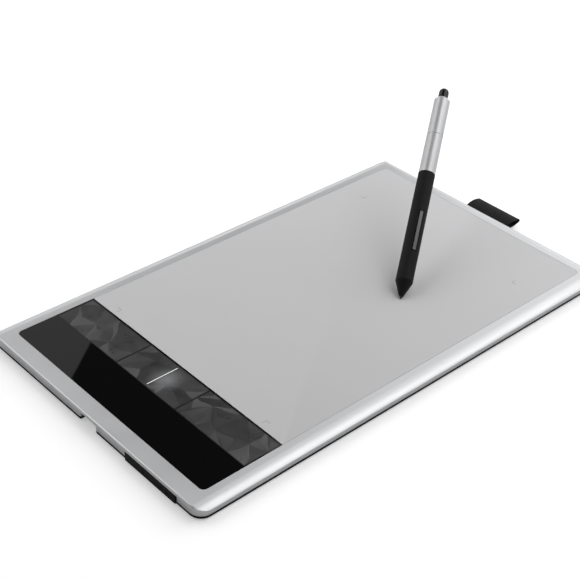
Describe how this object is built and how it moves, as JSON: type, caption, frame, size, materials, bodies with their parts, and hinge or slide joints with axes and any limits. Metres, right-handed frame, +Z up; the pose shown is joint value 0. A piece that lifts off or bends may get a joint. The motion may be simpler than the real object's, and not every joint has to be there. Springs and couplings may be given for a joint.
{
  "type": "pen tablet",
  "caption": "Slim rectangular pen tablet with inlaid drawing surface, key strip, side bays and fabric pen loop, with a cordless pen leaning on it.",
  "frame": {"origin": "on the desk, under the middle of the whole object's outline, pen loop included", "axes": "+X along the long side from the key strip towards the pen loop, +Y across the tablet, +Z up from the desk"},
  "size_m": [0.3662, 0.208, 0.0931],
  "materials": {
    "silver_plastic": "satin silver lacquer",
    "black_case": "fine matt texture",
    "drawing_sheet": "matt, lightly textured",
    "gloss_black": "polished",
    "key_plate": "faceted, half gloss",
    "light_guide": "clear light guide, lit white",
    "cover_grey": "satin dark grey",
    "rubber": "matt",
    "loop_fabric": "woven tape",
    "circuit_board": "solder mask",
    "flat_cable": "film",
    "chip_black": "moulded",
    "lamp_white": "lens",
    "steel": "plain",
    "screw_steel": "plain",
    "contact_brass": "gilt",
    "nib_black": "matt",
    "pen_black": "fine matt",
    "pen_rubber": "soft touch",
    "pen_silver": "satin silver lacquer",
    "switch_grey": "half gloss",
    "eraser_black": "polished",
    "chassis_grey": "moulded",
    "ferrite": "sintered",
    "copper": "enamelled wire"
  },
  "bodies": {
    "tablet": {"top_cover": "silver_plastic", "bottom_case": "black_case", "rubber_foot_1": "rubber", "rubber_foot_2": "rubber", "rubber_foot_3": "rubber", "rubber_foot_4": "rubber", "drawing_surface": "drawing_sheet", "gloss_panel": "gloss_black", "key_frame": "black_case", "key_board": "circuit_board", "key_switch_domes": "steel", "status_led": "lamp_white", "sensor_board": "circuit_board", "sensor_shield": "steel", "main_board": "circuit_board", "main_board_chips": "chip_black", "sensor_cable": "flat_cable", "key_board_cable": "flat_cable", "usb_socket_shell": "steel", "usb_socket_tongue": "chip_black", "bay_liner": "black_case", "battery_contacts": "contact_brass", "radio_connector": "chip_black", "pen_loop": "loop_fabric", "loop_clamp_bar": "steel", "loop_clamp_screws": "screw_steel", "case_screws": "screw_steel", "board_screws": "screw_steel"},
    "top_key": {"top_key": "key_plate"},
    "middle_key": {"middle_rocker_key": "key_plate", "light_bar": "light_guide"},
    "bottom_key": {"bottom_key": "key_plate"},
    "battery_cover": {"battery_bay_cover": "cover_grey"},
    "radio_cover": {"radio_bay_cover": "cover_grey"},
    "pen": {"pen_tip_cone": "pen_black", "pen_grip": "pen_rubber", "pen_front_shell": "pen_black", "pen_switch_pin": "screw_steel", "pen_circuit_board": "circuit_board", "pen_switch_domes": "steel", "pen_coil_core": "ferrite", "pen_coil_winding": "copper", "pen_pressure_sensor": "ferrite", "pen_eraser_sensor": "ferrite", "pen_chassis": "chassis_grey", "pen_rear_barrel": "pen_silver", "pen_end_sleeve": "pen_silver"},
    "pen_nib": {"pen_nib": "nib_black"},
    "pen_eraser": {"pen_eraser": "eraser_black", "pen_eraser_plunger": "pen_black"},
    "pen_side_switch": {"pen_side_switch": "switch_grey"}
  },
  "joints": [
    {"name": "top_key_press", "type": "slide", "parent": "tablet", "child": "top_key", "axis": [0, 0, -1], "range_m": [0, 0.0005], "stiffness_N_per_m": 800},
    {"name": "bottom_key_press", "type": "slide", "parent": "tablet", "child": "bottom_key", "axis": [0, 0, -1], "range_m": [0, 0.0005], "stiffness_N_per_m": 800},
    {"name": "middle_key_rock", "type": "hinge", "parent": "tablet", "child": "middle_key", "pos_m": [-0.12775, 0, 0.0065], "axis": [1, 0, 0], "range_deg": [-0.9, 0.9], "stiffness_Nm_per_rad": 0.6},
    {"name": "battery_cover_slide", "type": "slide", "parent": "tablet", "child": "battery_cover", "axis": [-1, 0, 0], "range_m": [0, 0.03]},
    {"name": "radio_cover_slide", "type": "slide", "parent": "tablet", "child": "radio_cover", "axis": [-1, 0, 0], "range_m": [0, 0.03]},
    {"name": "pen_lift", "type": "slide", "parent": "tablet", "child": "pen", "axis": [0, 0, 1], "range_m": [0, 0.06]},
    {"name": "nib_press", "type": "slide", "parent": "pen", "child": "pen_nib", "axis": [0.7248, 0.4926, 0.4818], "range_m": [0, 0.0003], "stiffness_N_per_m": 1500},
    {"name": "eraser_press", "type": "slide", "parent": "pen", "child": "pen_eraser", "axis": [-0.7248, -0.4926, -0.4818], "range_m": [0, 0.0008], "stiffness_N_per_m": 800},
    {"name": "side_switch_rock", "type": "hinge", "parent": "pen", "child": "pen_side_switch", "pos_m": [0.0755, -0.01371, 0.03609], "axis": [0.678, -0.6341, -0.3717], "range_deg": [-2, 2], "stiffness_Nm_per_rad": 0.2}
  ]
}
